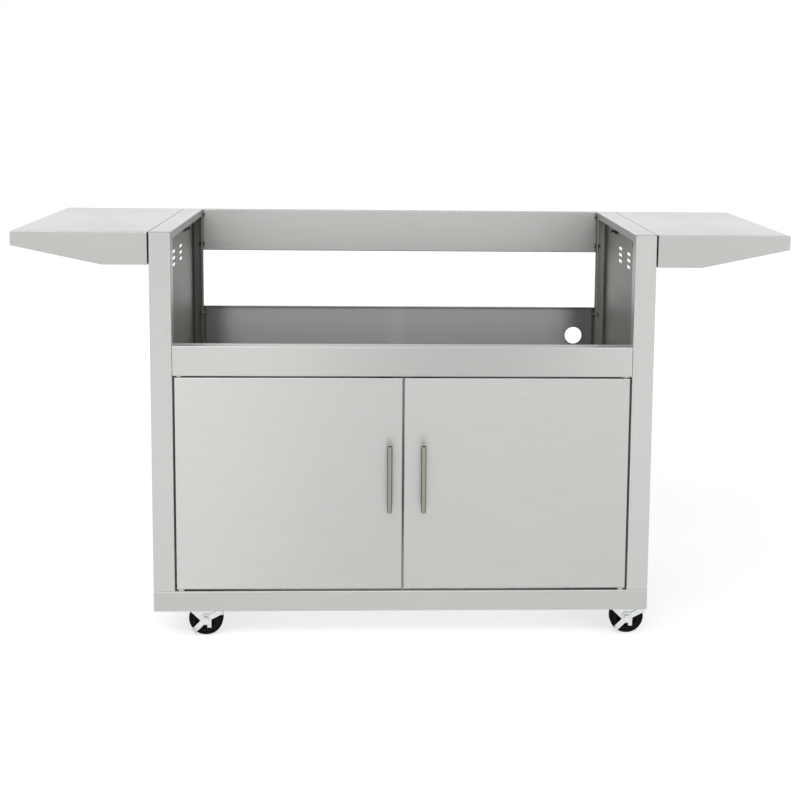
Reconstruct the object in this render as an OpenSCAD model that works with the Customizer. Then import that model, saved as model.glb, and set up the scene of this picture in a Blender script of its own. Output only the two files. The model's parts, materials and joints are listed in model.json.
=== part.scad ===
// Stainless grill cart: a folded sheet cabinet on casters, with an open bay for a drop-in grill,
// two doors under it and a fixed shelf on each side.
// X runs to the right, Y to the back and Z up. The origin is on the floor, under the middle.

/* [Cabinet] */
// Width of the cabinet over its posts
cart_w = 1092; // [900:1:1300]
// Depth of the cabinet from front face to back face
cart_d = 640; // [600:1:760]
// Height of the posts and caps above the base
side_h = 793; // [760:1:860]
// Thickness of the posts, caps and rails
frame_sheet = 1.5; // [1.2:0.1:2]
// Inner radius of the sheet bends
bend_in = 1; // [0.5:0.1:2]

/* [Base] */
// Height of the base skirt
base_h = 45.6; // [38:0.1:50]
// Thickness of the base sheet
base_sheet = 2; // [1.5:0.1:2.2]
// Height of the folded hem inside the skirt
base_hem_h = 10; // [6:0.5:16]
// Width of a stiffening channel under the base
channel_w = 84; // [80:1:86]
// Depth of a stiffening channel
channel_h = 10; // [8:0.5:14]
// Thickness of a stiffening channel
channel_sheet = 1.5; // [1.2:0.1:2]

/* [Posts and sides] */
// Width of a post, seen from the front
post_w = 47; // [44:0.5:52]
// Depth of a post's flanges
post_d = 36; // [35:0.5:48]
// Thickness of the foot plate inside a post
foot_sheet = 2; // [1.5:0.1:3]
// Depth of the foot plate
foot_d = 28; // [24:1:32]
// Height of the lips on a side cap
lip_h = 17; // [15:0.5:22]
// Thickness of a side panel
panel_sheet = 1.2; // [0.8:0.1:1.5]
// Width of the folded edges of a side panel
panel_fold = 15; // [10:0.5:18]
// Height of the shelf rail on the outside of a side
side_rail_h = 36; // [30:1:42]
// Gap between a cap's lip and the shelf rail under it
side_rail_gap = 1; // [0.5:0.1:4]

/* [Vent slots] */
// Length of a vent slot
slot_l = 50; // [30:1:60]
// Height of a vent slot
slot_h = 7.5; // [5:0.5:10]
// Slots above each other in a column
slot_rows = 3; // [1:1:5]
// Distance between two rows of slots
slot_pitch_z = 15; // [12:0.5:20]
// Distance between the two columns of slots
slot_pitch_y = 128; // [90:1:140]
// Distance from the shelf rail's lower edge to the middle of the first row
slot_drop = 13; // [6:0.5:30]
// Distance of the slots' middle in front of the cabinet's middle
slot_shift = 16; // [-40:0.5:40]

/* [Front rail] */
// Height of the front rail's face
front_rail_h = 66.5; // [60:0.5:90]
// Depth of the front rail's folded edges
front_rail_d = 34; // [34:0.5:40]

/* [Back] */
// Height of the back rail
back_rail_h = 104; // [80:1:120]
// Height of the lower back panel
back_panel_h = 547; // [500:1:600]
// Thickness of the back rail and the back panel
back_sheet = 1.2; // [0.8:0.1:1.5]
// Depth of the folded ends that bolt to the posts
back_end_d = 33; // [30:1:34]
// Depth of the folded top and bottom edges
back_fold = 12; // [8:0.5:12]
// Diameter of the hose hole
hose_dia = 43; // [30:0.5:60]
// Distance from the right post to the middle of the hose hole
hose_in = 53; // [40:1:300]
// Distance from the back panel's top to the hose hole
hose_drop = 74; // [50:1:150]

/* [Doors] */
// Height of a door
door_h = 473.3; // [430:0.1:520]
// Thickness of a door
door_t = 16; // [14:0.5:17]
// Thickness of the door skin
door_sheet = 1; // [0.8:0.1:1.2]
// Depth of the pan inside a door
liner_d = 13; // [12:0.5:13]
// Thickness of the pan inside a door
liner_sheet = 1; // [0.8:0.1:1.2]
// Gap beside and between the doors
door_gap = 3.7; // [3:0.1:5]
// Gap under the doors
door_gap_low = 4.5; // [3.5:0.1:6]
// Gap over the doors
door_gap_top = 2.8; // [2.5:0.1:4]
// Distance from a post to a door's hinge pin
pivot_x = 13; // [12.5:0.1:14]
// Diameter of a hinge pin
pin_dia = 6; // [4:0.1:6]

/* [Handles] */
// Length of a handle bar
handle_l = 148; // [130:1:200]
// Diameter of a handle bar
handle_dia = 11; // [10:0.5:14]
// Distance from the door face to the middle of the bar
handle_off = 30; // [25:0.5:40]
// Distance between a handle's two posts
handle_cc = 96; // [64:1:110]
// Diameter of a handle post
handle_post_dia = 8; // [7:0.5:9]
// Height of the handle's middle above the door's lower edge
handle_z = 254.5; // [200:0.5:300]
// Distance from the left door's free edge to its handle
handle_in_left = 27.5; // [20:0.5:60]
// Distance from the right door's free edge to its handle
handle_in_right = 42.5; // [20:0.5:60]

/* [Shelves] */
// Length of a side shelf
shelf_l = 288; // [220:1:360]
// Thickness of the shelf sheet
shelf_sheet = 1.2; // [0.8:0.1:1.6]
// Gap between a shelf and the cabinet
shelf_gap = 3; // [1:0.1:5]
// Height of the apron beside the cabinet
apron_in = 71; // [60:0.5:74]
// Height of the apron at the outer end
apron_out = 31; // [20:0.5:45]
// Length of the apron's straight lower edge
apron_flat = 97; // [40:1:160]
// Width of the hem folded in under an apron
apron_hem = 12; // [6:0.5:18]
// Distance from the cabinet's front to a shelf's front bolt
shelf_bolt_front = 85; // [64:1:120]
// Distance from the cabinet's front to a shelf's rear bolt
shelf_bolt_rear = 421; // [380:1:460]
// Distance from the shelf rail's top to the shelf bolts
shelf_bolt_drop = 12; // [12:0.5:18]

/* [Casters] */
// Diameter of a wheel
wheel_dia = 76; // [70:0.5:80]
// Width of a wheel's tread
wheel_w = 24; // [20:0.5:28]
// Height from the floor to the mounting plate's top
caster_h = 105; // [103:0.5:115]
// Distance between the swivel axis and the axle
trail = 35.5; // [30:0.5:37]
// Room between a caster's inner bolts and the sheets beside a post
caster_room = 0.5; // [0.5:0.1:8]
// Distance from the cabinet's face to the swivel axis
caster_in_y = 62; // [60:0.5:80]
// Width of a mounting plate
plate_x = 58; // [56:1:64]
// Length of a mounting plate
plate_y = 76; // [76:1:82]
// Thickness of a mounting plate
plate_t = 2.5; // [2:0.1:4]
// Distance between the bolt holes across the plate
hole_x = 34; // [34:0.5:38]
// Distance between the bolt holes along the plate
hole_y = 56; // [54:0.5:58]
// Thickness of the fork's sheet
fork_t = 2.5; // [2:0.1:3]
// Diameter of the kingpin
kingpin_dia = 10; // [8:0.5:12]
// Diameter of the balls in the swivel race
ball_dia = 5; // [4:0.5:6]
// Balls in each swivel race
ball_count = 10; // [6:1:12]
// Diameter of the axle
axle_dia = 8; // [6:0.5:10]
// Slope of the brake lever's pedal arm
pedal_angle = 27; // [20:1:35]
// Length of the pedal arm from the axle
pedal_l = 42; // [34:0.5:44]
// Slope of the brake lever's release arm
release_angle = 45; // [35:1:55]
// Length of the release arm from the axle
release_l = 36; // [30:0.5:38]
// Width of the brake lever's arms
lever_w = 12; // [8:0.5:14]
// Thickness of the brake lever
lever_t = 2.5; // [2:0.1:3]

/* [Fits] */
// Running clearance of a pin in its bore, on the radius
run_fit = 0.08; // [0.03:0.01:0.1]
// Clearance of a fixed piece in its hole, on the radius
set_fit = 0.05; // [0.03:0.01:0.1]
// Gap between faces that slide past each other
slide_gap = 0.3; // [0.2:0.05:0.4]
// Clearance of a bolt in its hole, on the radius
bolt_fit = 0.3; // [0.2:0.05:0.5]

/* [Hidden] */
$fn = 48;

// Colours
steel = [0.78, 0.78, 0.77];
steel_dark = [0.66, 0.66, 0.65];
zinc = [0.84, 0.86, 0.85];
black = [0.05, 0.05, 0.05];
nylon = [0.9, 0.9, 0.86];

// Places across the cart
x_out = cart_w / 2;
x_in = x_out - post_w;
handle_reach = handle_off + handle_dia / 2;
y_front = -(cart_d - handle_reach) / 2;
y_back = y_front + cart_d;

// Bends
frame_r = frame_sheet + bend_in;

// Heights
z_channel = caster_h;
z_base = z_channel + channel_h + base_sheet;
z_skirt = z_base - base_h;
z_top = z_base + side_h;
z_door = z_base + door_gap_low;
z_front_rail = z_door + door_h + door_gap_top;
z_back_rail = z_top - back_rail_h;
z_back_panel_top = z_base + back_panel_h;
z_side_rail_top = z_top - lip_h - side_rail_gap;
z_side_rail = z_side_rail_top - side_rail_h;
z_slot = z_side_rail - slot_drop;
z_shelf_bolt = z_side_rail_top - shelf_bolt_drop;

// Side panel, in the middle of the posts, measured inwards from the cabinet's side
panel_u = post_w / 2 - panel_sheet / 2;
panel_in = panel_u + panel_sheet;
slot_mid = cart_d / 2 - slot_shift;
hose_x = x_in - hose_in;

// Doors
door_w = (2 * x_in - 3 * door_gap) / 2;
hinge_x = pivot_x - door_gap;
hinge_y = door_t / 2;
pin_r = pin_dia / 2;
bush_r = pin_r + 2;
bush_flange_r = pin_r + 4;
bush_flange_t = 1.5;
bush_tail = 3;
pin_tail = 2;
pin_head_r = pin_r + 2;
pin_head_t = 2;
pin_inner = 8;
liner_gap = 0.1;
catch_x = 45;
catch_l = 40;
catch_h = 14;
catch_d = 16;
strike_l = 34;
strike_h = 11;
strike_t = 1.5;
strike_drop = 1.5;

// Bolts: m4 to m8 with the sizes of their heads and nuts
m4_r = 2;
m4_head_r = 4;
m4_head_t = 2.2;
m4_depth = 12;
m6_r = 3;
m6_hex_r = 5.77;
m6_head_t = 4;
m6_nut_t = 5;
m8_r = 4;
m8_hex_r = 7.5;
m8_flats = 13;
m8_head_t = 5.3;
m8_nut_t = 6.5;
washer_r = 9;
washer_t = 1.6;
thread_end = 3;
shelf_bolt_end = 9;
foot_bolt_u = post_w - 12;
foot_bolt_v = 14;
rail_bolt_v = front_rail_d / 2;
rail_bolt_dz = 18;
back_bolt_v = 20;
back_bolt_top = 11;
back_bolt_low = 18;
panel_bolt_top = 17;
panel_bolt_low = 60;
back_bolt_heights = [
    z_top - back_bolt_top, z_back_rail + back_bolt_low,
    z_back_panel_top - panel_bolt_top, z_base + panel_bolt_low
];
rail_bolt_heights = [for (s = [-1, 1]) z_front_rail + front_rail_h / 2 + s * rail_bolt_dz];

// Casters
caster_u = post_w + slide_gap + back_sheet + caster_room + m8_flats / 2 + hole_x / 2;
caster_x = x_out - caster_u;
channel_end = caster_in_y - plate_y / 2;
plate_corner_r = 6;
wheel_r = wheel_dia / 2;
tread_t = 9;
tread_r = 4;
hub_r = wheel_r - tread_t - set_fit;
hub_rim_t = 4;
hub_w = wheel_w - 2;
hub_web_w = 8;
hub_boss_r = 10;
fork_gap = 1.5;
leg_in = wheel_w / 2 + fork_gap;
leg_out = leg_in + fork_t;
hub_boss_w = 2 * (leg_in - slide_gap);
ball_r = ball_dia / 2;
race_gap = 0.1;
race_r = kingpin_dia / 2 + ball_dia + 4;
plate_low = caster_h - plate_t;
boss_h = 2.5;
boss_r = race_r + ball_r + 1.5;
boss_low = plate_low - boss_h;
ball_z = boss_low - race_gap - ball_r;
fork_top = ball_z - ball_r - slide_gap;
cup_in = boss_r + 0.6;
cup_out = cup_in + 1.7;
cup_top = plate_low - 1.2;
rivet_r = kingpin_dia / 2 + 3.5;
rivet_t = 3;
leg_half = 20;
leg_straight = 18;
leg_foot_r = 10.5;
leg_bulge = [24, 22];
stop_x = 8;
stop_w = 9;
stop_drop = 20;
lever_hub_r = 12.5;
lever_y = leg_out + slide_gap;
pad_t = 2.5;
pad_reach = 9;

// Helpers that mirror a piece or leave it as it is
module flip_x(on) {
    if (on) {
        mirror([1, 0, 0]) children();
    } else {
        children();
    }
}

module flip_y(on) {
    if (on) {
        mirror([0, 1, 0]) children();
    } else {
        children();
    }
}

// Places a piece drawn inwards from the front left corner at any corner
// sx: -1 left, 1 right. sy: -1 front, 1 rear
module at_corner(sx, sy) {
    translate([sx * x_out, sy < 0 ? y_front : y_back, 0])
        flip_x(sx > 0) flip_y(sy > 0) children();
}

// Extrudes a section drawn in X and Z along Y
module along_y(len) {
    translate([0, len, 0]) rotate([90, 0, 0]) linear_extrude(len) children();
}

// Extrudes a section drawn in Y and Z along X
module along_x(len) {
    rotate([90, 0, 90]) linear_extrude(len) children();
}

// A rectangle whose two corners on its first long edge are rounded
module rounded_edge(w, d, r) {
    translate([r, r]) circle(r = r);
    translate([w - r, r]) circle(r = r);
    translate([r, 0]) square([w - 2 * r, d]);
    translate([0, r]) square([w, d - r]);
}

// A rectangle with four rounded corners, centred
module rounded_rect(w, d, r) {
    square([w - 2 * r, d], center = true);
    square([w, d - 2 * r], center = true);
    for (sx = [-1, 1]) {
        for (sy = [-1, 1]) {
            translate([sx * (w / 2 - r), sy * (d / 2 - r)]) circle(r = r);
        }
    }
}

// A folded U section: web on the X axis, flanges towards +Y
module u_section(w, d, t) {
    difference() {
        rounded_edge(w, d, t + bend_in);
        translate([t, t]) rounded_edge(w - 2 * t, d, bend_in);
    }
}

// The same section with its web upright at X = 0 and its flanges towards +X
module c_section(h, d, t) {
    mirror([1, 0]) rotate(90) u_section(h, d, t);
}

// A round bar or hole along X or along Y
module rod_x(r, len) {
    rotate([0, 90, 0]) cylinder(r = r, h = len);
}

module rod_y(r, len) {
    rotate([-90, 0, 0]) cylinder(r = r, h = len);
}

// A hexagonal head or nut along X, along Y or along Z
module hex_x(r, len) {
    rotate([0, 90, 0]) cylinder(r = r, h = len, $fn = 6);
}

module hex_y(r, len) {
    rotate([-90, 0, 0]) cylinder(r = r, h = len, $fn = 6);
}

// Outline of a tray open below: rounded top edges along X and Y
module tray_block(w, d, h, r) {
    intersection() {
        translate([0, 0, h]) mirror([0, 0, 1]) along_y(d) rounded_edge(w, h, r);
        translate([0, 0, h]) mirror([0, 0, 1]) along_x(w) rounded_edge(d, h, r);
    }
}

// Base pan
module caster_holes(r, z, h) {
    for (sx = [-1, 1]) {
        for (sy = [-1, 1]) {
            at_corner(sx, sy) for (hx = [-1, 1]) {
                for (hy = [-1, 1]) {
                    translate([caster_u + hx * hole_x / 2, caster_in_y + hy * hole_y / 2, z])
                        cylinder(r = r, h = h);
                }
            }
        }
    }
}

module base_pan() {
    color(steel) difference() {
        translate([-x_out, y_front, z_skirt]) difference() {
            tray_block(cart_w, cart_d, base_h, base_sheet + bend_in);
            translate([base_sheet, base_sheet, -base_sheet])
                tray_block(cart_w - 2 * base_sheet, cart_d - 2 * base_sheet, base_h, bend_in);
        }
        caster_holes(m8_r + bolt_fit, z_base - 2 * base_sheet, 3 * base_sheet);
        for (s = [-1, 1]) {
            translate([s * (x_in - pivot_x), y_front + hinge_y, z_base - 2 * base_sheet])
                cylinder(r = bush_r + set_fit, h = 3 * base_sheet);
            for (sy = [-1, 1]) {
                at_corner(s, sy) translate([foot_bolt_u, foot_bolt_v, z_base - 2 * base_sheet])
                    cylinder(r = m6_r + bolt_fit, h = 3 * base_sheet);
            }
        }
    }
    color(steel) translate([-x_out, y_front, z_skirt]) difference() {
        translate([base_sheet, base_sheet, 0])
            cube([cart_w - 2 * base_sheet, cart_d - 2 * base_sheet, base_hem_h]);
        translate([2 * base_sheet, 2 * base_sheet, -1])
            cube([cart_w - 4 * base_sheet, cart_d - 4 * base_sheet, base_hem_h + 2]);
    }
}

// Stiffening channel that carries two casters, open upwards
module base_channel(s) {
    color(steel_dark) difference() {
        translate([s * caster_x - channel_w / 2, y_front + channel_end, z_channel])
            along_y(cart_d - 2 * channel_end) u_section(channel_w, channel_h, channel_sheet);
        caster_holes(m8_r + bolt_fit, z_channel - channel_sheet, 3 * channel_sheet);
    }
}

// Post: folded U section with a foot plate, notched at the top for the cap's lips
module post(sx, sy) {
    color(steel) at_corner(sx, sy) difference() {
        union() {
            translate([0, 0, z_base]) linear_extrude(z_top - frame_sheet - z_base)
                u_section(post_w, post_d, frame_sheet);
            translate([panel_in + slide_gap, frame_sheet / 2, z_base])
                cube([
                    post_w - panel_in - slide_gap - frame_sheet / 2, foot_d - frame_sheet / 2,
                    foot_sheet
                ]);
        }
        translate([-1, frame_r, z_top - lip_h - slide_gap])
            cube([post_w + 2, post_d, lip_h + 1]);
        translate([foot_bolt_u, foot_bolt_v, z_base - 1])
            cylinder(r = m6_r + bolt_fit, h = foot_sheet + 2);
        post_side_holes(sy);
    }
}

// Bolt holes in a post's inner flange
module post_side_holes(sy) {
    if (sy < 0) {
        for (z = rail_bolt_heights) {
            translate([post_w / 2 + panel_sheet, rail_bolt_v, z]) rod_x(m6_r + bolt_fit, post_w / 2);
        }
    } else {
        for (z = back_bolt_heights) {
            translate([post_w / 2 + panel_sheet, back_bolt_v, z]) rod_x(m6_r + bolt_fit, post_w / 2);
        }
    }
}

// Side panel with folded edges and vent slots
module vent_slot() {
    for (s = [-1, 1]) {
        translate([0, s * (slot_l - slot_h) / 2, 0]) rod_x(slot_h / 2, 3 * panel_sheet);
    }
    translate([0, -(slot_l - slot_h) / 2, -slot_h / 2]) cube([3 * panel_sheet, slot_l - slot_h, slot_h]);
}

module side_panel(s) {
    color(steel_dark) at_corner(s, -1) difference() {
        union() {
            translate([panel_u, frame_sheet, z_base])
                cube([panel_sheet, cart_d - 2 * frame_sheet, side_h - frame_sheet]);
            for (v = [frame_sheet, cart_d - frame_sheet - panel_sheet]) {
                translate([panel_in - panel_fold, v, z_base])
                    cube([panel_fold, panel_sheet, side_h - frame_sheet]);
            }
            for (z = [z_base, z_top - frame_sheet - panel_sheet]) {
                translate([panel_in - panel_fold, frame_sheet, z])
                    cube([panel_fold, cart_d - 2 * frame_sheet, panel_sheet]);
            }
        }
        for (row = [0 : slot_rows - 1]) {
            for (col = [0, 1]) {
                translate([
                    panel_u - panel_sheet, slot_mid + (col - 0.5) * slot_pitch_y,
                    z_slot - row * slot_pitch_z
                ])
                    vent_slot();
            }
        }
        shelf_bolt_holes(panel_u - panel_sheet, 3 * panel_sheet);
    }
}

module shelf_bolt_holes(u, len) {
    for (v = [shelf_bolt_front, shelf_bolt_rear]) {
        translate([u, v, z_shelf_bolt]) rod_x(m8_r + bolt_fit, len);
    }
}

// Cap over the posts of one side, with a lip on each edge
module side_cap(s) {
    color(steel) at_corner(s, -1) difference() {
        union() {
            translate([0, frame_r, z_top]) mirror([0, 0, 1]) along_y(cart_d - 2 * frame_r)
                u_section(post_w, lip_h, frame_sheet);
            translate([frame_r, 0, z_top - frame_sheet])
                cube([post_w - 2 * frame_r, cart_d, frame_sheet]);
        }
        translate([post_w / 2, cart_d - back_bolt_v, z_top - back_bolt_top])
            rod_x(m6_r + bolt_fit, post_w);
    }
}

// Rail on the outside of a side that carries the shelf bolts
module side_rail(s) {
    color(steel_dark) at_corner(s, -1) difference() {
        translate([0, post_d + slide_gap, z_side_rail])
            along_y(cart_d - 2 * post_d - 2 * slide_gap)
                c_section(side_rail_h, panel_u, frame_sheet);
        shelf_bolt_holes(-1, frame_sheet + 2);
    }
}

// Front rail: folded C section with closed ends
module front_rail() {
    half = x_in - slide_gap;
    color(steel) difference() {
        union() {
            translate([-half, y_front, z_front_rail])
                along_x(2 * half) c_section(front_rail_h, front_rail_d, frame_sheet);
            for (x = [-half, half - frame_sheet]) {
                translate([x, y_front + frame_r, z_front_rail + frame_sheet / 2])
                    cube([frame_sheet, front_rail_d - frame_r, front_rail_h - frame_sheet]);
            }
        }
        for (s = [-1, 1]) {
            translate([s * (x_in - pivot_x), y_front + hinge_y, z_front_rail - 1])
                cylinder(r = bush_r + set_fit, h = frame_sheet + 2);
            for (z = rail_bolt_heights) {
                at_corner(s, -1) translate([post_w, rail_bolt_v, z])
                    rod_x(m6_r + bolt_fit, 2 * frame_sheet + slide_gap);
            }
        }
    }
}

module back_bolt_holes() {
    for (s = [-1, 1]) {
        for (z = back_bolt_heights) {
            at_corner(s, 1) translate([post_w - slide_gap, back_bolt_v, z])
                rod_x(m6_r + bolt_fit, 2 * back_sheet + 2 * slide_gap);
        }
    }
}

// Back rail: its folded edges point to the back and its ends forward, to the posts' bolts
module back_rail() {
    half = x_in - slide_gap;
    bend = back_sheet + bend_in;
    color(steel) difference() {
        union() {
            translate([-half, y_back - back_fold, z_back_rail])
                along_x(2 * half) c_section(back_rail_h, back_fold, back_sheet);
            for (x = [-half, half - back_sheet]) {
                translate([x, y_back - back_end_d, z_back_rail + bend])
                    cube([
                        back_sheet, back_end_d - back_fold + back_sheet / 2,
                        back_rail_h - 2 * bend
                    ]);
            }
        }
        back_bolt_holes();
    }
}

// Lower back panel: its folded edges and its ends point forward
module back_panel() {
    half = x_in - slide_gap;
    color(steel) difference() {
        union() {
            translate([-half, y_back, z_base]) mirror([0, 1, 0])
                along_x(2 * half) c_section(back_panel_h, back_fold, back_sheet);
            for (x = [-half, half - back_sheet]) {
                translate([x, y_back - back_end_d, z_base + back_sheet / 2])
                    cube([
                        back_sheet, back_end_d - back_sheet - bend_in, back_panel_h - back_sheet
                    ]);
            }
        }
        back_bolt_holes();
        translate([hose_x, y_back - 2 * back_sheet, z_back_panel_top - hose_drop])
            rod_y(hose_dia / 2, 3 * back_sheet);
    }
}

// Side shelf: a tray open below with a hem, drawn from the cabinet outwards
module apron_outline(inset, r) {
    polygon([
        [inset, -apron_in - inset],
        [apron_flat, -apron_in - inset],
        [shelf_l - inset, -apron_out - inset],
        [shelf_l - inset, -inset - r],
        [shelf_l - inset - r, -inset],
        [inset, -inset]
    ]);
    translate([shelf_l - inset - r, -inset - r]) circle(r = r);
}

module shelf_block(inset, r) {
    intersection() {
        along_y(cart_d) apron_outline(inset, r);
        translate([0, inset, -inset]) mirror([0, 0, 1])
            along_x(shelf_l) rounded_edge(cart_d - 2 * inset, 2 * apron_in, r);
    }
}

module apron_hem_strip() {
    along_y(apron_hem) polygon([
        [0, -apron_in],
        [apron_flat, -apron_in],
        [shelf_l, -apron_out],
        [shelf_l, -apron_out + shelf_sheet],
        [apron_flat, -apron_in + shelf_sheet],
        [0, -apron_in + shelf_sheet]
    ]);
}

module shelf_tray() {
    difference() {
        shelf_block(0, shelf_sheet + bend_in);
        shelf_block(shelf_sheet, bend_in);
    }
    translate([slide_gap - shelf_gap, shelf_sheet + bend_in, -shelf_sheet])
        cube([shelf_gap, cart_d - 2 * shelf_sheet - 2 * bend_in, shelf_sheet]);
    apron_hem_strip();
    translate([0, cart_d - apron_hem, 0]) apron_hem_strip();
    translate([shelf_l - apron_hem, 0, -apron_out]) cube([apron_hem, cart_d, shelf_sheet]);
}

module shelf(s) {
    color(steel) at_corner(s, -1) difference() {
        translate([-shelf_gap, 0, z_top]) mirror([1, 0, 0]) shelf_tray();
        shelf_bolt_holes(-shelf_gap - 2 * shelf_sheet, 3 * shelf_sheet);
    }
}

// Bolts that hold the shelves: head under the shelf, spacer, washer and nut inside the bay
module shelf_bolt() {
    head_u = -shelf_gap - shelf_sheet;
    end_u = panel_in + washer_t + m8_nut_t + shelf_bolt_end;
    translate([head_u - m8_head_t, 0, 0]) hex_x(m8_hex_r, m8_head_t);
    translate([head_u, 0, 0]) rod_x(m8_r, end_u - head_u);
    translate([-shelf_gap, 0, 0]) rod_x(washer_r, shelf_gap);
    translate([panel_in, 0, 0]) rod_x(washer_r, washer_t);
    translate([panel_in + washer_t, 0, 0]) hex_x(m8_hex_r, m8_nut_t);
}

module shelf_bolts() {
    color(zinc) for (s = [-1, 1]) {
        at_corner(s, -1) for (v = [shelf_bolt_front, shelf_bolt_rear]) {
            translate([0, v, z_shelf_bolt]) shelf_bolt();
        }
    }
}

// M6 bolts: a head on the bay side and a nut inside the post
module side_bolt(inner_sheet) {
    head_u = post_w + slide_gap + inner_sheet;
    nut_u = post_w - frame_sheet - m6_nut_t;
    translate([head_u, 0, 0]) hex_x(m6_hex_r, m6_head_t);
    translate([nut_u - thread_end, 0, 0]) rod_x(m6_r, head_u - nut_u + thread_end);
    translate([nut_u, 0, 0]) hex_x(m6_hex_r, m6_nut_t);
}

// M6 bolt from under the base into a post's foot
module foot_bolt() {
    low = z_base - base_sheet - m6_head_t;
    nut = z_base + foot_sheet;
    translate([0, 0, low]) cylinder(r = m6_hex_r, h = m6_head_t, $fn = 6);
    translate([0, 0, low]) cylinder(r = m6_r, h = nut + m6_nut_t + thread_end - low);
    translate([0, 0, nut]) cylinder(r = m6_hex_r, h = m6_nut_t, $fn = 6);
}

module frame_bolts() {
    color(zinc) for (s = [-1, 1]) {
        for (sy = [-1, 1]) {
            at_corner(s, sy) translate([foot_bolt_u, foot_bolt_v, 0]) foot_bolt();
        }
        for (z = rail_bolt_heights) {
            at_corner(s, -1) translate([0, rail_bolt_v, z]) side_bolt(frame_sheet);
        }
        for (z = back_bolt_heights) {
            at_corner(s, 1) translate([0, back_bolt_v, z]) side_bolt(back_sheet);
        }
    }
}

// Bolts from the base through the channels and the caster plates
module caster_bolt() {
    translate([0, 0, z_base]) rotate(30) cylinder(r = m8_hex_r, h = m8_head_t, $fn = 6);
    translate([0, 0, plate_low - m8_nut_t - thread_end])
        cylinder(r = m8_r, h = z_base - plate_low + m8_nut_t + thread_end);
    translate([0, 0, plate_low - m8_nut_t]) cylinder(r = m8_hex_r, h = m8_nut_t, $fn = 6);
}

module caster_bolts() {
    color(zinc) for (sx = [-1, 1]) {
        for (sy = [-1, 1]) {
            at_corner(sx, sy) for (hx = [-1, 1]) {
                for (hy = [-1, 1]) {
                    translate([caster_u + hx * hole_x / 2, caster_in_y + hy * hole_y / 2, 0])
                        caster_bolt();
                }
            }
        }
    }
}

// Flanged bushes for the hinge pins: a thick flange carries the door below, a thin one lies above
module hinge_bush(flange_t, tail) {
    difference() {
        union() {
            cylinder(r = bush_flange_r, h = flange_t);
            translate([0, 0, -tail]) cylinder(r = bush_r, h = tail + flange_t / 2);
        }
        translate([0, 0, -tail - 1]) cylinder(r = pin_r + run_fit, h = tail + flange_t + 2);
    }
}

module hinge_bushes() {
    color(nylon) for (s = [-1, 1]) {
        translate([s * (x_in - pivot_x), y_front + hinge_y, z_base])
            hinge_bush(door_gap_low - slide_gap, base_sheet + bush_tail);
        translate([s * (x_in - pivot_x), y_front + hinge_y, z_front_rail]) mirror([0, 0, 1])
            hinge_bush(bush_flange_t, frame_sheet + bush_tail);
    }
}

// Magnet catches under the front rail
module magnet_catches() {
    color(black) for (s = [-1, 1]) {
        translate([
            s * catch_x - catch_l / 2, y_front + door_t + strike_t + slide_gap,
            z_front_rail - catch_h
        ])
            cube([catch_l, catch_d, catch_h]);
    }
}

// Balls of the four swivel races
module swivel_balls() {
    color(zinc) for (sx = [-1, 1]) {
        for (sy = [-1, 1]) {
            translate([sx * caster_x, sy < 0 ? y_front + caster_in_y : y_back - caster_in_y, ball_z])
                for (k = [0 : ball_count - 1]) {
                    rotate([0, 0, k * 360 / ball_count]) translate([race_r, 0, 0]) sphere(r = ball_r);
                }
        }
    }
}

// Doors, drawn from the hinge edge to the free edge
module at_door(s) {
    translate([s * (x_in - door_gap), y_front, z_door]) flip_x(s > 0) children();
}

module door_block(inset, edge_r) {
    w = door_w - 2 * inset;
    h = door_h - 2 * inset;
    translate([inset, inset, inset]) intersection() {
        linear_extrude(h) rounded_edge(w, door_t, edge_r);
        along_x(w) mirror([1, 0]) rotate(90) rounded_edge(h, door_t, edge_r);
    }
}

module door_skin(s, handle_in) {
    color(steel) at_door(s) difference() {
        door_block(0, door_sheet + bend_in);
        door_block(door_sheet, bend_in);
        translate([hinge_x, hinge_y, -1]) cylinder(r = pin_r + set_fit, h = door_h + 2);
        for (k = [-1, 1]) {
            translate([door_w - handle_in, -1, handle_z + k * handle_cc / 2])
                rod_y(m4_r + bolt_fit, door_sheet + 2);
        }
    }
}

module door_liner(s) {
    edge = door_sheet + liner_gap;
    color(steel_dark) at_door(s) difference() {
        translate([edge, door_t - liner_d, edge]) cube([door_w - 2 * edge, liner_d, door_h - 2 * edge]);
        translate([edge + liner_sheet, door_t - liner_d - 1, edge + liner_sheet]) cube([
            door_w - 2 * edge - 2 * liner_sheet, liner_d + 1 - liner_sheet,
            door_h - 2 * edge - 2 * liner_sheet
        ]);
        translate([hinge_x, hinge_y, -1]) cylinder(r = pin_r + set_fit, h = door_h + 2);
    }
}

// Handle: bar, two posts and the screws from inside the door
module handle_bar(s, handle_in) {
    chamfer = 0.8;
    r = handle_dia / 2;
    color(steel) at_door(s) translate([door_w - handle_in, -handle_off, handle_z - handle_l / 2]) {
        translate([0, 0, chamfer]) cylinder(r = r, h = handle_l - 2 * chamfer);
        cylinder(r1 = r - chamfer, r2 = r, h = chamfer);
        translate([0, 0, handle_l - chamfer]) cylinder(r1 = r, r2 = r - chamfer, h = chamfer);
    }
}

module handle_posts(s, handle_in) {
    color(steel) at_door(s) for (k = [-1, 1]) {
        translate([door_w - handle_in, 0, handle_z + k * handle_cc / 2]) difference() {
            translate([0, -handle_off, 0]) rod_y(handle_post_dia / 2, handle_off);
            translate([0, -handle_off, -handle_post_dia])
                cylinder(r = handle_dia / 2 + set_fit, h = 2 * handle_post_dia);
            translate([0, -m4_depth - 1, 0]) rod_y(m4_r + set_fit, m4_depth + 2);
        }
    }
}

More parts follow.
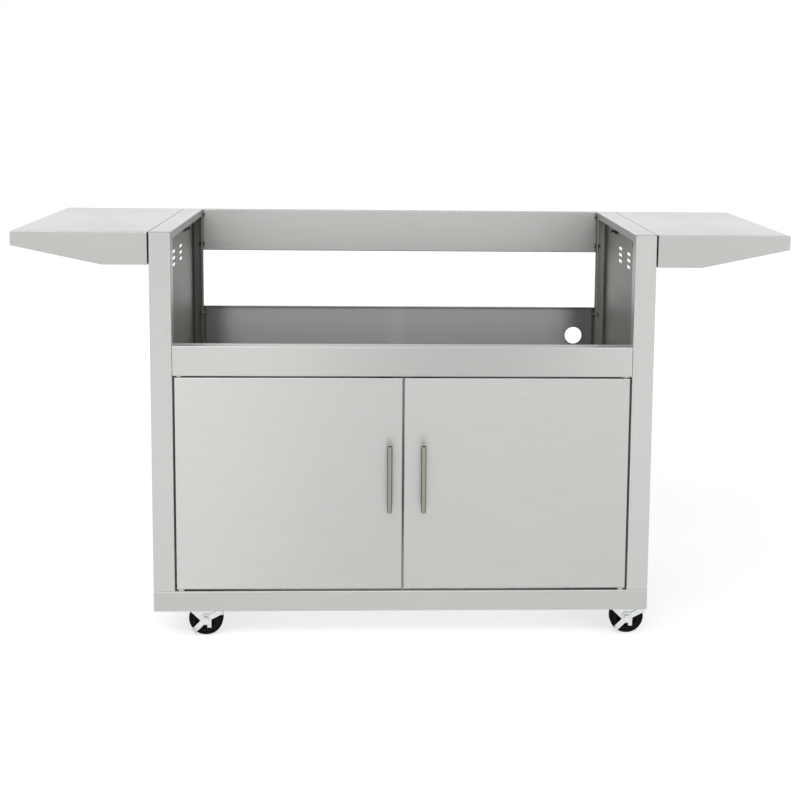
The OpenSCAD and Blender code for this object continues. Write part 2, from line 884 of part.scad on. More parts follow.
module handle_screws(s, handle_in) {
    color(zinc) at_door(s) for (k = [-1, 1]) {
        translate([door_w - handle_in, -m4_depth, handle_z + k * handle_cc / 2]) {
            rod_y(m4_r, m4_depth + door_sheet + m4_head_t / 2);
            translate([0, m4_depth + door_sheet, 0]) rod_y(m4_head_r, m4_head_t);
        }
    }
}

// Hinge pins of one door, each with a head inside the door
module hinge_pin(gap, tail) {
    seat = door_sheet + liner_gap + liner_sheet;
    translate([0, 0, -gap - tail]) cylinder(r = pin_r, h = gap + tail + pin_inner);
    translate([0, 0, seat]) cylinder(r = pin_head_r, h = pin_head_t);
}

module hinge_pins(s) {
    color(zinc) at_door(s) translate([hinge_x, hinge_y, 0]) {
        hinge_pin(door_gap_low, base_sheet + pin_tail);
        translate([0, 0, door_h]) mirror([0, 0, 1]) hinge_pin(door_gap_top, frame_sheet + pin_tail);
    }
}

// Strike plate that the magnet catch holds
module strike(s) {
    color(zinc) at_door(s) translate([
        x_in - door_gap - catch_x - strike_l / 2, door_t, door_h - strike_drop - strike_h
    ])
        cube([strike_l, strike_t, strike_h]);
}

// Casters, drawn round their swivel axis with the wheel trailing towards +X
module at_caster(sx, sy) {
    translate([sx * caster_x, sy < 0 ? y_front + caster_in_y : y_back - caster_in_y, 0]) children();
}

module caster_plate(sx, sy) {
    color(zinc) at_caster(sx, sy) {
        difference() {
            translate([0, 0, plate_low]) linear_extrude(plate_t)
                rounded_rect(plate_x, plate_y, plate_corner_r);
            for (hx = [-1, 1]) {
                for (hy = [-1, 1]) {
                    translate([hx * hole_x / 2, hy * hole_y / 2, plate_low - 1])
                        cylinder(r = m8_r + bolt_fit, h = plate_t + 2);
                }
            }
        }
        translate([0, 0, boss_low]) cylinder(r = boss_r, h = boss_h + plate_t / 2);
        translate([0, 0, fork_top - fork_t - slide_gap - rivet_t]) {
            cylinder(r = kingpin_dia / 2, h = plate_low - fork_top + fork_t + slide_gap + rivet_t);
            cylinder(r = rivet_r, h = rivet_t);
        }
    }
}

// Point where a line from p touches a circle round c. side: 1 or -1
function touch(p, c, r, side) =
    let (d = c - p, len = norm(d), a = atan2(d[1], d[0]) + side * asin(r / len))
    p + sqrt(len * len - r * r) * [cos(a), sin(a)];

// Leg of the fork: straight below the crown, then drawn in to a round foot, with a stop for the lever
module fork_leg() {
    axle = [trail, wheel_r];
    back_top = [-leg_half, fork_top];
    back = [-leg_half, fork_top - leg_straight];
    bulge = axle + leg_bulge;
    front_top = [leg_half, fork_top];
    along_y(fork_t) {
        polygon([
            back_top, back, touch(back, axle, leg_foot_r, -1), axle,
            touch(bulge, axle, leg_foot_r, 1), bulge, front_top
        ]);
        translate(axle) circle(r = leg_foot_r);
        translate(axle + [stop_x - stop_w / 2, -stop_drop]) square([stop_w, stop_drop]);
    }
}

module fork(sx, sy) {
    color(zinc) at_caster(sx, sy) difference() {
        union() {
            translate([-leg_half, -leg_out, fork_top - fork_t]) cube([2 * leg_half, 2 * leg_out, fork_t]);
            translate([0, 0, fork_top - fork_t]) cylinder(r = cup_out, h = fork_t);
            difference() {
                translate([0, 0, fork_top - fork_t]) cylinder(r = cup_out, h = cup_top - fork_top + fork_t);
                translate([0, 0, fork_top]) cylinder(r = cup_in, h = cup_top);
            }
            for (y = [-leg_out, leg_in]) {
                translate([0, y, 0]) fork_leg();
            }
        }
        translate([0, 0, fork_top - fork_t - 1]) cylinder(r = kingpin_dia / 2 + run_fit, h = fork_t + 2);
        translate([trail, -leg_out - 1, wheel_r]) rod_y(axle_dia / 2 + set_fit, 2 * leg_out + 2);
    }
}

// Axle bolt with its nut. Room is left under the nut for a brake lever
module axle(sx, sy, lever_room) {
    nut_y = -leg_out - lever_room - m8_nut_t;
    color(zinc) at_caster(sx, sy) translate([trail, 0, wheel_r]) {
        translate([0, nut_y - thread_end / 2, 0]) rod_y(axle_dia / 2, leg_out - nut_y + thread_end);
        translate([0, nut_y, 0]) hex_y(axle_dia - 0.5, m8_nut_t);
        translate([0, leg_out, 0]) hex_y(axle_dia - 0.5, m8_head_t);
    }
}

module wheel_hub(sx, sy) {
    bore = axle_dia / 2 + run_fit;
    color(black) at_caster(sx, sy) translate([trail, 0, wheel_r]) rotate([90, 0, 0]) rotate_extrude() {
        translate([hub_r - hub_rim_t, -hub_w / 2]) square([hub_rim_t, hub_w]);
        translate([hub_boss_r - 1, -hub_web_w / 2]) square([hub_r - hub_boss_r, hub_web_w]);
        translate([bore, -hub_boss_w / 2]) square([hub_boss_r - bore, hub_boss_w]);
    }
}

module wheel_tread(sx, sy) {
    inner = wheel_r - tread_t;
    color(black) at_caster(sx, sy) translate([trail, 0, wheel_r]) rotate([90, 0, 0]) rotate_extrude() {
        translate([inner, -wheel_w / 2]) square([tread_t - tread_r, wheel_w]);
        translate([inner, -wheel_w / 2 + tread_r]) square([tread_t, wheel_w - 2 * tread_r]);
        for (s = [-1, 1]) {
            translate([wheel_r - tread_r, s * (wheel_w / 2 - tread_r)]) circle(r = tread_r);
        }
    }
}

// Arm of the brake lever with a pad bent outwards at its end. angle is its direction above +X
module lever_arm(len, angle) {
    rotate([0, -angle, 0]) {
        translate([0, -lever_t, -lever_w / 2]) cube([len, lever_t, lever_w]);
        translate([len - pad_t, -lever_t - pad_reach, -lever_w / 2])
            cube([pad_t, pad_reach + lever_t, lever_w]);
    }
}

// Brake lever on the axle of a front caster: a pedal arm to press and an arm that releases it
module brake_lever(sx) {
    color(zinc) at_caster(sx, -1) translate([trail, -lever_y, wheel_r]) difference() {
        union() {
            translate([0, -lever_t, 0]) rod_y(lever_hub_r, lever_t);
            lever_arm(pedal_l, pedal_angle);
            lever_arm(release_l, 180 + release_angle);
        }
        translate([0, -lever_t - 1, 0]) rod_y(axle_dia / 2 + run_fit, lever_t + 2);
    }
}

base_pan();
base_channel(-1);  // base_channel_left
base_channel(1);  // base_channel_right
post(-1, -1);  // post_front_left
post(1, -1);  // post_front_right
post(-1, 1);  // post_rear_left
post(1, 1);  // post_rear_right
side_panel(-1);  // side_panel_left
side_panel(1);  // side_panel_right
side_cap(-1);  // side_cap_left
side_cap(1);  // side_cap_right
side_rail(-1);  // side_rail_left
side_rail(1);  // side_rail_right
front_rail();
back_rail();
back_panel();
shelf(-1);  // shelf_left
shelf(1);  // shelf_right
shelf_bolts();
frame_bolts();
caster_bolts();
hinge_bushes();
magnet_catches();
swivel_balls();
door_skin(-1, handle_in_left);  // door_skin_left
door_liner(-1);  // door_liner_left
handle_bar(-1, handle_in_left);  // handle_bar_left
handle_posts(-1, handle_in_left);  // handle_posts_left
handle_screws(-1, handle_in_left);  // handle_screws_left
hinge_pins(-1);  // hinge_pins_left
strike(-1);  // strike_left
door_skin(1, handle_in_right);  // door_skin_right
door_liner(1);  // door_liner_right
handle_bar(1, handle_in_right);  // handle_bar_right
handle_posts(1, handle_in_right);  // handle_posts_right
handle_screws(1, handle_in_right);  // handle_screws_right
hinge_pins(1);  // hinge_pins_right
strike(1);  // strike_right
caster_plate(-1, -1);  // plate_front_left
caster_plate(1, -1);  // plate_front_right
caster_plate(-1, 1);  // plate_rear_left
caster_plate(1, 1);  // plate_rear_right
fork(-1, -1);  // fork_front_left
fork(1, -1);  // fork_front_right
fork(-1, 1);  // fork_rear_left
fork(1, 1);  // fork_rear_right
axle(-1, -1, lever_t + 2 * slide_gap);  // axle_front_left
axle(1, -1, lever_t + 2 * slide_gap);  // axle_front_right
axle(-1, 1, 0);  // axle_rear_left
axle(1, 1, 0);  // axle_rear_right
wheel_hub(-1, -1);  // hub_front_left
wheel_hub(1, -1);  // hub_front_right
wheel_hub(-1, 1);  // hub_rear_left
wheel_hub(1, 1);  // hub_rear_right
wheel_tread(-1, -1);  // tread_front_left
wheel_tread(1, -1);  // tread_front_right
wheel_tread(-1, 1);  // tread_rear_left
wheel_tread(1, 1);  // tread_rear_right
brake_lever(-1);  // brake_lever_left
brake_lever(1);  // brake_lever_right
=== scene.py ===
"""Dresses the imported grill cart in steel, zinc, plastic and rubber, and stands it on a lit floor."""

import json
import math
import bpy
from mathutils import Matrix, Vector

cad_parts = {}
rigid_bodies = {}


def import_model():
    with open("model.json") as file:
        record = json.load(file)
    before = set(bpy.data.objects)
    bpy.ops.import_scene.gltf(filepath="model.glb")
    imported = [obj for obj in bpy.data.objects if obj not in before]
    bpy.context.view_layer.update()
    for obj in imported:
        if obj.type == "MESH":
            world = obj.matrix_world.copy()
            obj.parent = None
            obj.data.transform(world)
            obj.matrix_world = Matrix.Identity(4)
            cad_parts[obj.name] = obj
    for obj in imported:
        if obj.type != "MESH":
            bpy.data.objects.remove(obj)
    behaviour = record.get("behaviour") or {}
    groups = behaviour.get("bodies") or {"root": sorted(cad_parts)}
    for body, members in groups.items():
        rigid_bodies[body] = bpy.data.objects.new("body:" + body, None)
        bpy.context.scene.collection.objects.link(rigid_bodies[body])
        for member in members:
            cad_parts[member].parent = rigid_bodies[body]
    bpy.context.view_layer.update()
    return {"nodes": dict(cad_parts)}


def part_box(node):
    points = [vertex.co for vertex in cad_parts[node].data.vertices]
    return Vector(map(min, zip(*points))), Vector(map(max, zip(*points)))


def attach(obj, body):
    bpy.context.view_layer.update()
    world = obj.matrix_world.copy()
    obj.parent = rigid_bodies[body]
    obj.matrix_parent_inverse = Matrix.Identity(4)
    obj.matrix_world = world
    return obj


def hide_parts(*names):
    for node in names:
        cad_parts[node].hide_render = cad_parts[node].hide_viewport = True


bl_info = {
    "name": "Grill cart",
    "version": (1, 0, 0),
    "blender": (4, 5, 0),
    "location": "View3D > Sidebar > Grill cart",
    "description": "Dresses the packed grill cart in its finishes and lights it on a pale floor",
    "category": "Object",
}

from typing import NamedTuple

import bmesh
import bpy
from bpy.props import FloatProperty, FloatVectorProperty, IntProperty, PointerProperty
from bpy.types import Operator, Panel, PropertyGroup
from mathutils import Matrix, Vector


def clear_start_up_objects():
    """The start-up cube, camera and lamp would count as part of the cart."""
    for found in list(bpy.data.objects):
        bpy.data.objects.remove(found)


clear_start_up_objects()
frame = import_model()
CORNERS = ("front_left", "front_right", "rear_left", "rear_right")
SIDES = ("left", "right")
MM = 0.001
ALONG_X, ALONG_Y, ALONG_Z = 0, 1, 2


def linear(code):
    """A colour written as an sRGB hex code, as linear red, green, blue and full alpha."""
    values = []
    for start in (0, 2, 4):
        value = int(code[start : start + 2], 16) / 255
        values.append(value / 12.92 if value <= 0.04045 else ((value + 0.055) / 1.055) ** 2.4)
    return (*values, 1.0)


WHITE = linear("FFFFFF")


def colour_property(name, description, code):
    """A colour that a user can change, its default given as an sRGB hex code."""
    return FloatVectorProperty(
        name=name, description=description, subtype="COLOR", size=4, min=0, max=1, default=linear(code)
    )


def length_property(name, description, millimetres):
    """A length that a user can change, its default given in millimetres."""
    return FloatProperty(
        name=name, description=description, unit="LENGTH", min=0, default=millimetres * MM, precision=5
    )


class CartSteel(PropertyGroup):
    """Colours and brush marks of the stainless sheet, with lighter and darker copies of its colour and a
    band of painted shade, which paint in light and shade.
    """

    sheet: colour_property("Sheet", "Colour of the brushed shelf tops, caps and front rail", "BEBEBC")
    # The doors are one steel: the left door's colour is a lighter copy (painted light) and the right
    # door's a darker copy (painted shade)
    left_door_lit: colour_property("Left door", "Colour of the left door's brushed skin", "C3C3C1")
    right_door_shaded: colour_property("Right door", "Colour of the right door's brushed skin", "B9B9B7")
    # Painted shade: a darker copy of the sheet's colour for the base, the back rail and the back panel
    frame: colour_property("Frame", "Colour of the brushed base, rails and back", "B7B7B5")
    # Painted light: the posts are the same steel as the sheet, lightened to make up for the light their
    # upright grain doesn't catch
    post: colour_property("Posts", "Colour of the brushed posts", "C1C1BF")
    # Painted shade: a darker copy of the sheet's colour for the shelves' upright faces
    painted_shade_apron: colour_property("Aprons", "Colour of the shelves' brushed aprons", "B0B0AE")
    # Painted shade: a darker copy of the sheet's colour for the caps' upright faces
    painted_shade_lip: colour_property("Lips", "Colour of the caps' lips", "9A9A98")
    # The mill finish is duller than the brushed sheet, and this colour is also darkened to paint in the
    # shade inside the cart: partly the real finish, partly painted shade
    inner: colour_property("Inner sheet", "Colour of the mill finish inner sheet", "8A8986")
    # Painted shade: a darker mill colour and a dark edge tint for the faces inside the rear posts and
    # the end tabs of the back rail and panel, where shade falls
    painted_shade_colour: colour_property("Inner faces", "Colour of the unbrushed faces in the rear posts", "888783")
    painted_shade_edge: colour_property("Inner edges", "Tint of what unbrushed faces mirror edge-on", "585858")
    # Painted light: a lighter mill colour for the right rear post's web, seen in the bay
    painted_light_pocket: colour_property("Pocket", "Colour of the right rear post's web, seen in the bay", "C4C3BF")
    # Painted shade: the bar's colour is darker than the steel and its flank tint is near black, standing
    # in for the dark things a polished bar mirrors
    handle: colour_property("Handle", "Colour of the handle bars", "8F8B81")
    painted_shade_flank: colour_property("Handle flanks", "Tint of what the bars mirror at a flat angle", "060606")
    grain_gap: length_property("Grain gap", "Distance between brush marks, drawn coarse to show", 2.4)
    grain_length: length_property("Grain length", "Length of a brush mark", 190)
    # Painted shade: the next three settings draw a soft band of shade into the colour of the left door
    # and the front rail
    painted_shade_length: length_property("Sheet waviness", "Distance between the soft waves in the sheet", 1100)
    painted_shade_depth: FloatProperty(
        name="Waviness", description="How far a soft wave darkens the left door",
        subtype="FACTOR", min=0, max=1, default=0.13,
    )
    rail_painted_shade_depth: FloatProperty(
        name="Rail waviness", description="How far a soft wave darkens the front rail",
        subtype="FACTOR", min=0, max=1, default=0.22,
    )
    grain_contrast: FloatProperty(
        name="Grain contrast", description="How far a brush mark lightens or darkens the sheet",
        subtype="FACTOR", min=0, max=1, default=0.035,
    )


class CartMetal(PropertyGroup):
    """Colours of the zinc plated steel."""

    fastener: colour_property("Fasteners", "Colour of the screws, pins and strikes", "D2D4D2")
    # Painted shade: the bolts' zinc is darkened to stand in for the dark surroundings they mirror
    bolt: colour_property("Bolts", "Colour of all bolts and nuts", "6A6B69")
    caster: colour_property("Casters", "Colour of the forks, plates and levers", "D6D9D8")
    mottle: length_property("Mottle", "Distance between the cloudy spots of the plating", 7)


class CartPlastic(PropertyGroup):
    """Colours of the plastic and rubber pieces."""

    hub: colour_property("Hub", "Colour of the wheel hubs", "070707")
    tread: colour_property("Tread", "Colour of the rubber treads", "050505")
    nylon: colour_property("Bush", "Colour of the hinge bushes", "E4E2D8")
    catch: colour_property("Catch", "Colour of the magnet catches", "1E1D1C")
    grit: length_property("Moulding grit", "Distance between moulded grains, drawn coarse to show", 0.9)


class CartDetail(PropertyGroup):
    """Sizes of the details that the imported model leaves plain."""

    rib_count: IntProperty(name="Hub ribs", description="Ribs on each side of a hub", min=3, default=8)
    rib_thickness: length_property("Rib thickness", "Thickness of a hub rib", 1.6)
    rib_depth: length_property("Rib depth", "Distance of the rib edges below the rim's face", 1.6)
    thread_pitch: length_property("Thread pitch", "Distance between two turns of a thread", 1.25)
    thread_depth: length_property("Thread depth", "Depth of a thread", 0.6)
    pole_proud: length_property("Pole plates", "How far a catch's pole plates stand out", 0.15)


class CartStage(PropertyGroup):
    """Floor, light and camera."""

    floor: colour_property("Floor", "Colour of the floor", "F2F2F2")
    glow: FloatProperty(
        name="Floor glow",
        description="Share of the floor's white that the eye and the steel see unshadowed",
        subtype="FACTOR", min=0, max=1, default=0.6,
    )
    far_glow: FloatProperty(
        name="Far floor glow", description="The same share where the floor meets the white background",
        subtype="FACTOR", min=0, max=1, default=0.8,
    )
    world: FloatProperty(
        name="Room light", description="Strength of the room's light on plain surfaces",
        min=0, default=0.3,
    )
    key: FloatProperty(
        name="Key light", description="Power of the soft light at the front right",
        subtype="POWER", unit="POWER", min=0, default=10,
    )
    fill: FloatProperty(
        name="Fill light", description="Power of the soft light at the front left",
        subtype="POWER", unit="POWER", min=0, default=100,
    )
    back: FloatProperty(
        name="Back light", description="Power of the soft light above and behind the cart",
        subtype="POWER", unit="POWER", min=0, default=20,
    )
    place: FloatVectorProperty(
        name="Camera", description="Place of the camera",
        subtype="TRANSLATION", unit="LENGTH", default=(-0.05416, -3.72227, 1.22911),
    )
    pitch: FloatProperty(
        name="Pitch", description="Angle by which the camera looks down",
        unit="ROTATION", default=math.radians(8.123),
    )
    yaw: FloatProperty(
        name="Yaw", description="Angle by which the camera looks to the right",
        unit="ROTATION", default=math.radians(2.812),
    )
    roll: FloatProperty(
        name="Roll", description="Tilt of the camera", unit="ROTATION", default=math.radians(0.654)
    )
    lens: FloatProperty(
        name="Lens", description="Focal length in millimetres on a 36 mm sensor", min=1, default=72.01
    )
    shift: FloatVectorProperty(
        name="Shift", description="Sideways and upward shift of the picture",
        size=2, default=(-0.07105, -0.11001),
    )


class CartSettings(PropertyGroup):
    """All settings of the cart."""

    steel: PointerProperty(type=CartSteel)
    metal: PointerProperty(type=CartMetal)
    plastic: PointerProperty(type=CartPlastic)
    detail: PointerProperty(type=CartDetail)
    stage: PointerProperty(type=CartStage)


# Shader nodes


def add(tree, kind, values=None, links=None):
    """Adds a node. values are its settings or input values, links the sockets that feed its inputs."""
    node = tree.nodes.new("ShaderNode" + kind)
    for key, value in (values or {}).items():
        if isinstance(key, str) and hasattr(node, key):
            setattr(node, key, value)
        else:
            node.inputs[key].default_value = value
    for key, socket in (links or {}).items():
        tree.links.new(socket, node.inputs[key])
    return node


def new_material(name, colour, **sockets):
    """A material with one principled shader. Returns the material, its tree and the shader."""
    material = bpy.data.materials.new(name)
    material.use_nodes = True
    tree = material.node_tree
    shader = tree.nodes["Principled BSDF"]
    shader.inputs["Base Color"].default_value = colour
    for key, value in sockets.items():
        shader.inputs[key.replace("_", " ")].default_value = value
    return material, tree, shader


def per_metre(length):
    """How often a pattern of that length repeats in a metre."""
    return 1 / length


def tinted(tree, colour, factor, contrast):
    """The colour, lightened and darkened by up to contrast where factor runs from 0 to 1."""
    low = tuple(c * (1 - contrast) for c in colour[:3]) + (1,)
    high = tuple(min(1, c * (1 + contrast)) for c in colour[:3]) + (1,)
    mixed = add(
        tree, "Mix", {"data_type": "RGBA", 6: low, 7: high, "clamp_factor": True}, {0: factor}
    )
    return mixed.outputs[2]


def spread(tree, value, low, high):
    """Stretches the middle of a noise pattern to the range from low to high."""
    return add(
        tree, "MapRange", {1: 0.3, 2: 0.7, 3: low, 4: high, "clamp": True}, {0: value}
    ).outputs[0]


def brushed_stainless(
    name, colour, grain, steel, roughness=0.42, turn=0.25, stretch=0.5, depth=1.0, painted_shade_wave=None
):
    """Stainless sheet, belt brushed: the eye gets a soft satin sheen with fine straight lines.

    grain is the axis along which the brush ran. turn and stretch are the direction and the length of
    the smear that its marks give to a highlight, and depth is how deep they are. painted_shade_wave is
    the place along X where a band of painted shade is darkest, and how far it darkens the colour.
    """
    material, tree, shader = new_material(
        name, colour, Metallic=1.0, Roughness=roughness, Anisotropic=stretch, Anisotropic_Rotation=turn
    )
    scale = [per_metre(steel.grain_gap)] * 3
    scale[grain] = per_metre(steel.grain_length)
    place = add(tree, "TexCoord").outputs["Object"]
    along = add(tree, "Mapping", {"Scale": scale}, {"Vector": place})
    marks = add(
        tree, "TexNoise", {"Scale": 1.0, "Detail": 3.0, "Roughness": 0.6}, {"Vector": along.outputs[0]}
    ).outputs[0]
    streaked = tinted(tree, colour, spread(tree, marks, 0, 1), depth * steel.grain_contrast)
    # Painted shade: a soft band along X, darkest at one place, multiplied into the colour
    if painted_shade_wave:
        streaked = add_painted_shade_wave(tree, streaked, place, steel.painted_shade_length, *painted_shade_wave)
    tree.links.new(streaked, shader.inputs["Base Color"])
    # How far a mark moves the roughness either way: less on a smooth sheet, which would turn streaky
    swing = 0.25 * depth * roughness**2
    tree.links.new(spread(tree, marks, roughness - swing, roughness + swing), shader.inputs["Roughness"])
    bump = add(
        tree, "Bump", {"Strength": 2 * swing, "Distance": 0.02 * MM}, {"Height": marks}
    )
    tree.links.new(bump.outputs[0], shader.inputs["Normal"])
    return material


def add_painted_shade_wave(tree, colour, place, length, dip, depth):
    """The colour, darkened by a band of painted shade along X that is deepest at dip."""
    repeats = 20  # The wave texture's bands in a length of 2 pi at scale 1
    scale = per_metre(length) * 2 * math.pi / repeats
    painted_shade_wave = add(
        tree, "TexWave", {
            "Scale": scale, "Distortion": 0.6, "Detail": 0.0, "Detail Scale": 4.0,
            "Phase Offset": -repeats * scale * dip,
        }, {"Vector": place},
    ).outputs["Fac"]
    level = add(tree, "MapRange", {3: 1 - depth, 4: 1.0}, {0: painted_shade_wave}).outputs[0]
    painted_shade_colour = add(tree, "CombineColor", None, {i: level for i in (0, 1, 2)}).outputs[0]
    return add(
        tree, "Mix", {"data_type": "RGBA", "blend_type": "MULTIPLY", 0: 1.0}, {6: colour, 7: painted_shade_colour}
    ).outputs[2]


def mill_stainless(name, colour, steel, edge=WHITE):
    """Stainless sheet as it leaves the mill, cold rolled and dull: a grey, cloudy, even sheen.

    edge tints what the sheet mirrors at a flat angle; a dark edge paints shade into these reflections.
    """
    material, tree, shader = new_material(
        name, colour, Metallic=1.0, Roughness=0.55, Specular_Tint=edge
    )
    place = add(tree, "TexCoord").outputs["Object"]
    cloud = add(
        tree, "TexNoise", {"Scale": per_metre(60 * MM), "Detail": 4.0}, {"Vector": place}
    ).outputs[0]
    speck = add(
        tree, "TexNoise", {"Scale": per_metre(3 * MM), "Detail": 2.0}, {"Vector": place}
    ).outputs[0]
    clouded = tinted(tree, colour, spread(tree, cloud, 0, 1), steel.grain_contrast)
    tree.links.new(clouded, shader.inputs["Base Color"])
    tree.links.new(spread(tree, cloud, 0.53, 0.57), shader.inputs["Roughness"])
    bump = add(tree, "Bump", {"Strength": 0.1, "Distance": 0.02 * MM}, {"Height": speck})
    tree.links.new(bump.outputs[0], shader.inputs["Normal"])
    return material


def satin_bar(name, colour, edge):
    """Stainless bar, ground round its length, with narrow rings that break the highlight.

    The rings are drawn coarse to show. edge tints what the bar mirrors at a flat angle: set near black,
    it paints shade onto the bar's two flanks.
    """
    material, tree, shader = new_material(
        name, colour, Metallic=1.0, Roughness=0.15, Anisotropic=0.4, Anisotropic_Rotation=0.25,
        Specular_Tint=edge,
    )
    place = add(tree, "TexCoord").outputs["Object"]
    rings = add(
        tree, "Mapping", {"Scale": (per_metre(30 * MM),) * 2 + (per_metre(0.8 * MM),)}, {"Vector": place}
    )
    marks = add(tree, "TexNoise", {"Scale": 1.0, "Detail": 2.0}, {"Vector": rings.outputs[0]}).outputs[0]
    tree.links.new(tinted(tree, colour, spread(tree, marks, 0, 1), 0.04), shader.inputs["Base Color"])
    tree.links.new(spread(tree, marks, 0.13, 0.19), shader.inputs["Roughness"])
    return material


def zinc_plated(name, colour, mottle, roughness=0.34):
    """Steel, pressed or turned, then zinc plated: pale and slightly blue, with cloudy spots."""
    material, tree, shader = new_material(name, colour, Metallic=1.0, Roughness=roughness)
    place = add(tree, "TexCoord").outputs["Object"]
    cloud = add(
        tree, "TexNoise", {"Scale": per_metre(mottle), "Detail": 3.0, "Roughness": 0.6},
        {"Vector": place},
    ).outputs[0]
    tree.links.new(tinted(tree, colour, spread(tree, cloud, 0, 1), 0.07), shader.inputs["Base Color"])
    tree.links.new(
        spread(tree, cloud, roughness - 0.06, roughness + 0.08), shader.inputs["Roughness"]
    )
    bump = add(tree, "Bump", {"Strength": 0.15, "Distance": 0.05 * MM}, {"Height": cloud})
    tree.links.new(bump.outputs[0], shader.inputs["Normal"])
    return material


def moulded_plastic(name, colour, grit, roughness=0.5, level=0.2):
    """Moulded plastic with a fine spark-eroded grain that dulls the shine."""
    material, tree, shader = new_material(
        name, colour, Roughness=roughness, IOR=1.49, Specular_IOR_Level=level
    )
    place = add(tree, "TexCoord").outputs["Object"]
    grain = add(
        tree, "TexNoise", {"Scale": per_metre(grit), "Detail": 2.0}, {"Vector": place}
    ).outputs[0]
    tree.links.new(tinted(tree, colour, spread(tree, grain, 0, 1), 0.1), shader.inputs["Base Color"])
    tree.links.new(
        spread(tree, grain, roughness - 0.05, roughness + 0.08), shader.inputs["Roughness"]
    )
    bump = add(tree, "Bump", {"Strength": 0.25, "Distance": 0.08 * MM}, {"Height": grain})
    tree.links.new(bump.outputs[0], shader.inputs["Normal"])
    return material


def tread_rubber(name, colour, grit):
    """Vulcanised rubber: nearly black and dull, with a dusty, scuffed running face."""
    material, tree, shader = new_material(name, colour, Roughness=0.7, IOR=1.52, Specular_IOR_Level=0.12)
    place = add(tree, "TexCoord").outputs["Object"]
    dust = add(
        tree, "TexNoise", {"Scale": per_metre(6 * MM), "Detail": 4.0, "Roughness": 0.65},
        {"Vector": place},
    ).outputs[0]
    fine = add(
        tree, "TexNoise", {"Scale": per_metre(grit), "Detail": 2.0}, {"Vector": place}
    ).outputs[0]
    tree.links.new(tinted(tree, colour, spread(tree, dust, 0, 1), 0.35), shader.inputs["Base Color"])
    tree.links.new(spread(tree, dust, 0.62, 0.8), shader.inputs["Roughness"])
    bump = add(tree, "Bump", {"Strength": 0.3, "Distance": 0.1 * MM}, {"Height": fine})
    tree.links.new(bump.outputs[0], shader.inputs["Normal"])
    return material


def ground_steel(name):
    """Bare steel, ground flat: an even grey with a soft shine."""
    colour = linear("9FA0A0")
    material, tree, shader = new_material(name, colour, Metallic=1.0, Roughness=0.38)
    place = add(tree, "TexCoord").outputs["Object"]
    marks = add(
        tree, "TexNoise", {"Scale": per_metre(1.2 * MM), "Detail": 2.0}, {"Vector": place}
    ).outputs[0]
    tree.links.new(tinted(tree, colour, spread(tree, marks, 0, 1), 0.06), shader.inputs["Base Color"])
    return material


def dress(names, material):
    """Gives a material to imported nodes."""
    for name in names:
        mesh = frame["nodes"][name].data
        mesh.materials.clear()
        mesh.materials.append(material)


def dress_faces(name, material, wanted):
    """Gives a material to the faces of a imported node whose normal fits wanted(normal)."""
    mesh = frame["nodes"][name].data
    mesh.materials.append(material)
    for face in mesh.polygons:
        if wanted(face.normal):
            face.material_index = len(mesh.materials) - 1


def each(*stems, ends=SIDES):
    """Node names: every stem with every end."""
    return [f"{stem}_{end}" for stem in stems for end in ends]


# Mesh pieces


def new_piece(name, mesh_builder, material, body):
    """Makes a mesh with mesh_builder(bm), finishes it and lets it ride on a body."""
    bm = bmesh.new()
    mesh_builder(bm)
    bmesh.ops.recalc_face_normals(bm, faces=bm.faces)
    mesh = bpy.data.meshes.new(name)
    bm.to_mesh(mesh)
    bm.free()
    mesh.materials.append(material)
    piece = bpy.data.objects.new(name, mesh)
    bpy.context.scene.collection.objects.link(piece)
    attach(piece, body)
    return piece


def add_block(bm, low, high, place=Matrix.Identity(4)):
    """Adds a block between two corners, moved by place."""
    low, high = Vector(low), Vector(high)
    made = bmesh.ops.create_cube(bm, size=1.0)["verts"]
    for vert in made:
        vert.co = place @ Vector(
            [low[i] + (vert.co[i] + 0.5) * (high[i] - low[i]) for i in range(3)]
        )


def add_turned(bm, place, rings, count=48):
    """Adds a closed body from rings along local Z. A ring is a height and a function of the angle
    that gives its radius and how far it drops."""
    loops = []
    for height, shape in rings:
        loop = []
        for k in range(count):
            angle = 2 * math.pi * k / count
            radius, drop = shape(angle)
            loop.append(
                bm.verts.new(
                    place @ Vector((radius * math.cos(angle), radius * math.sin(angle), height + drop))
                )
            )
        loops.append(loop)
    for lower, upper in zip(loops, loops[1:]):
        for k in range(count):
            n = (k + 1) % count
            bm.faces.new((lower[k], lower[n], upper[n], upper[k]))
    bm.faces.new(reversed(loops[0]))
    bm.faces.new(loops[-1])


def round_ring(radius):
    """Edge of a round disc."""
    return lambda angle: (radius, 0)


def hex_ring(radius, chamfer, sign):
    """Edge of a hexagon whose corners a cone cuts off, below a top for sign 1, above a base for -1."""
    slope = math.tan(math.radians(30))

    def shape(angle):
        side = (angle + math.pi / 6) % (math.pi / 3) - math.pi / 6
        reach = radius * math.cos(math.pi / 6) / math.cos(side)
        cut = max(0, reach - chamfer) * slope
        return reach, -sign * cut

    return shape


def add_hexagon(bm, place, radius, low, high, both=True):
    """Adds a hexagonal head or nut with turned corners on its top, or on both faces."""
    turned = place @ Matrix.Rotation(math.pi / 6, 4, "Z")
    round_share = 0.97  # The round face's width, as a share of the width across the flats
    chamfer = radius * math.cos(math.pi / 6) * round_share
    rings = [(high, hex_ring(radius, chamfer, 1)), (high, round_ring(chamfer))]
    if both:
        rings = [(low, round_ring(chamfer)), (low, hex_ring(radius, chamfer, -1))] + rings
    else:
        rings = [(low, hex_ring(radius, radius, -1))] + rings
    add_turned(bm, turned, rings)


